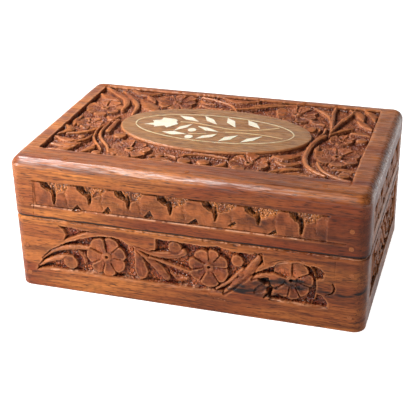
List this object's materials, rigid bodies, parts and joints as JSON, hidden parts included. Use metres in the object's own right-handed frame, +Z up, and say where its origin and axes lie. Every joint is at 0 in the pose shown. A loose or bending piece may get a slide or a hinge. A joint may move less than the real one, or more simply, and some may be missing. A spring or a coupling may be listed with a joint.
{
  "type": "jewelry box",
  "caption": "Low rectangular hardwood box with carved flower scrolls on every side, a hinged carved lid with a bone inlaid oval, brass butt hinges and velvet linings.",
  "frame": {"origin": "middle of the underside, where the box rests", "axes": "+X along the box's length towards its right end seen from the front, +Y from the front to the hinged back, +Z up"},
  "size_m": [0.15, 0.096, 0.06],
  "materials": {
    "sheesham": "carved and varnished",
    "plywood": "sanded, bare",
    "peg_wood": "cut flush",
    "bone_inlay": "polished bone",
    "velvet": "short-pile velvet",
    "hinge_brass": "satin",
    "steel_nail": "dull"
  },
  "bodies": {
    "base": {"base_back_lining": "velvet", "base_back_wall": "sheesham", "base_bottom_nails": "steel_nail", "base_bottom_panel": "plywood", "base_corner_pegs": "peg_wood", "base_floor_lining": "velvet", "base_front_lining": "velvet", "base_front_wall": "sheesham", "base_left_lining": "velvet", "base_left_wall": "sheesham", "base_right_lining": "velvet", "base_right_wall": "sheesham", "hinge_left_base_leaf": "hinge_brass", "hinge_left_base_screws": "hinge_brass", "hinge_left_pin": "hinge_brass", "hinge_right_base_leaf": "hinge_brass", "hinge_right_base_screws": "hinge_brass", "hinge_right_pin": "hinge_brass"},
    "lid": {"hinge_left_lid_leaf": "hinge_brass", "hinge_left_lid_screws": "hinge_brass", "hinge_right_lid_leaf": "hinge_brass", "hinge_right_lid_screws": "hinge_brass", "inlay_blossom": "bone_inlay", "inlay_bud_petals": "bone_inlay", "inlay_dots": "bone_inlay", "inlay_lower_leaves": "bone_inlay", "inlay_lower_stem": "bone_inlay", "inlay_oval_line": "bone_inlay", "inlay_upper_leaves": "bone_inlay", "inlay_upper_stem": "bone_inlay", "lid_back_lining": "velvet", "lid_back_wall": "sheesham", "lid_ceiling_lining": "velvet", "lid_corner_pegs": "peg_wood", "lid_front_lining": "velvet", "lid_front_wall": "sheesham", "lid_left_lining": "velvet", "lid_left_wall": "sheesham", "lid_panel_pegs": "peg_wood", "lid_right_lining": "velvet", "lid_right_wall": "sheesham", "lid_top_panel": "sheesham"}
  },
  "joints": [
    {"name": "lid_hinge", "type": "hinge", "parent": "base", "child": "lid", "pos_m": [0, 0.0463, 0.0336], "axis": [-1, 0, 0], "range_deg": [0, 100]}
  ]
}
